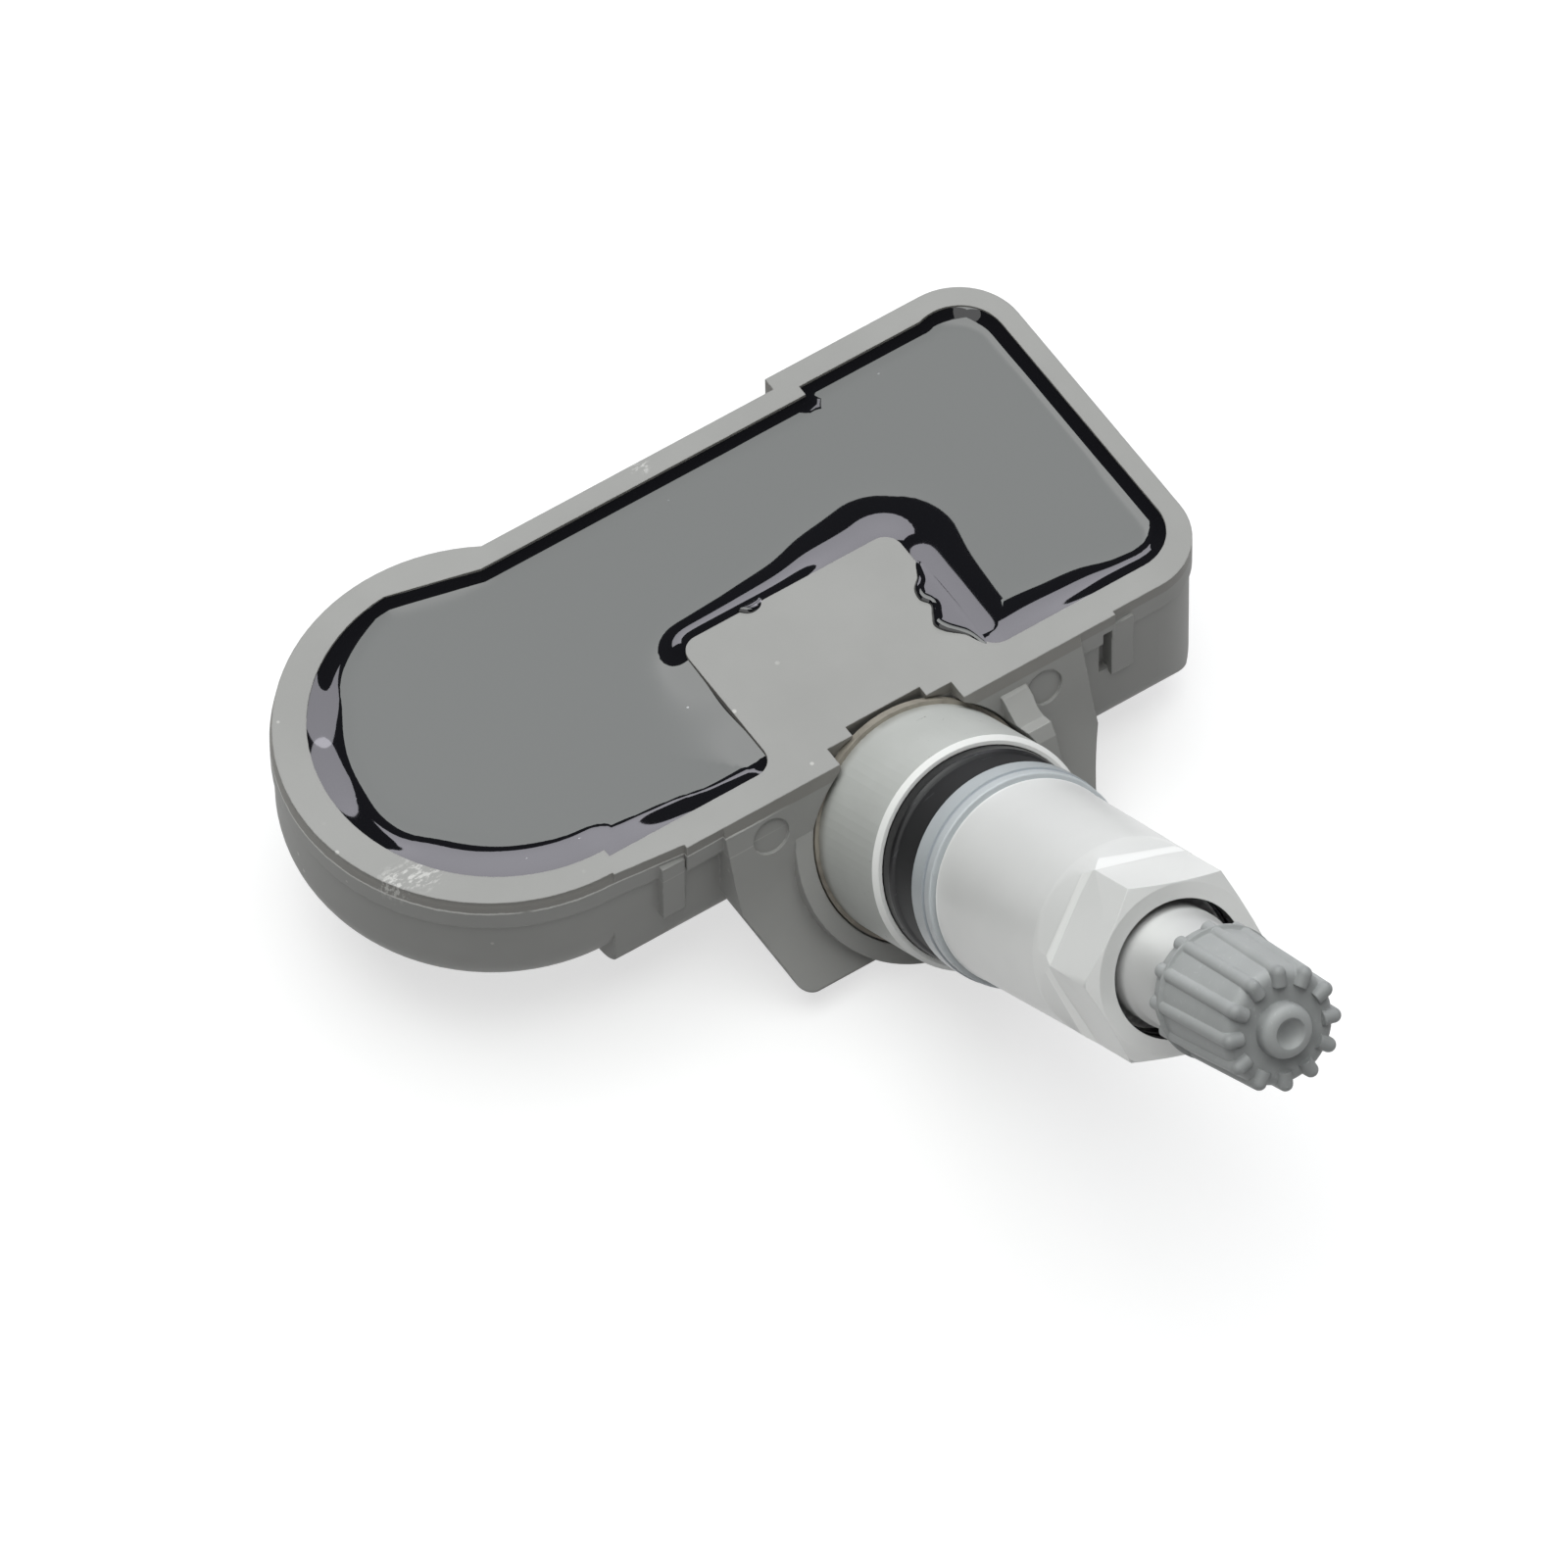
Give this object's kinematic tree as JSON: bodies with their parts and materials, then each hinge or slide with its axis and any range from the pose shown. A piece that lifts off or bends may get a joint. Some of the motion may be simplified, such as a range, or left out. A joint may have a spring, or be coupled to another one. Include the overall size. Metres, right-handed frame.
{
  "type": "tyre pressure sensor",
  "caption": "Clamp-in tyre pressure sensor: potted grey housing on a tilted aluminium valve stem with grommet, slip washer, long hexagon nut, valve core and ribbed plastic cap.",
  "frame": {"origin": "point of the stem axis where the wheel rim bears on the grommet", "axes": "+Z out of the housing's open side, square to its rim; the stem climbs towards -Y; +X towards the housing's flat end"},
  "size_m": [0.068, 0.0837, 0.0411],
  "materials": {
    "grey_resin": "fine moulded grain",
    "black_compound": "glossy cured compound",
    "board_green": "solder mask",
    "plated_steel": "bright plated",
    "chip_black": "matt",
    "copper_wire": "enamelled",
    "tan_ceramic": "fired",
    "tan_metal": "dull, stained",
    "stem_aluminium": "satin turned",
    "nut_aluminium": "satin turned, bright milled flats",
    "washer_plastic": "milky, slightly see-through",
    "black_rubber": "satin rubber",
    "brass_metal": "turned",
    "red_seal": "soft",
    "cap_plastic": "fine moulded grain"
  },
  "bodies": {
    "sensor": {"stem": "stem_aluminium", "housing": "grey_resin", "potting": "black_compound", "circuit_board": "board_green", "battery_cell": "plated_steel", "battery_tab_top": "plated_steel", "battery_tab_bottom": "plated_steel", "sensor_chip": "chip_black", "port_seal": "black_rubber", "crystal": "plated_steel", "coil_core": "chip_black", "coil_winding": "copper_wire", "capacitors": "tan_ceramic", "resistors": "chip_black", "antenna_strip": "plated_steel", "seat_ring": "tan_metal", "fixing_screw": "plated_steel", "grommet": "black_rubber", "core_barrel": "brass_metal", "core_gasket": "red_seal", "core_spring": "plated_steel"},
    "washer": {"slip_washer": "washer_plastic"},
    "nut": {"nut": "nut_aluminium"},
    "cap_carrier": {"cap_seal": "black_rubber"},
    "cap": {"cap": "cap_plastic"},
    "valve_pin": {"core_pin": "brass_metal", "pin_seal": "black_rubber"}
  },
  "joints": [
    {"name": "nut_travel", "type": "slide", "parent": "sensor", "child": "washer", "axis": [0, -0.8536, 0.521], "range_m": [0, 0.004]},
    {"name": "nut_turn", "type": "hinge", "parent": "washer", "child": "nut", "pos_m": [0, 0, 0], "axis": [0, -0.8536, 0.521], "range_deg": [0, 1440]},
    {"name": "cap_travel", "type": "slide", "parent": "sensor", "child": "cap_carrier", "axis": [0, -0.8536, 0.521], "range_m": [0, 0.00555]},
    {"name": "cap_turn", "type": "hinge", "parent": "cap_carrier", "child": "cap", "pos_m": [0, 0, 0], "axis": [0, -0.8536, 0.521], "range_deg": [0, 2520]},
    {"name": "pin_press", "type": "slide", "parent": "sensor", "child": "valve_pin", "axis": [0, 0.8536, -0.521], "range_m": [0, 0.0012], "stiffness_N_per_m": 1000, "deforming": ["core_spring"]}
  ],
  "couplings": [
    {"joint": "nut_turn", "follows": "nut_travel", "rad_per_m": 6283.2},
    {"joint": "cap_turn", "follows": "cap_travel", "rad_per_m": 7913.3}
  ]
}
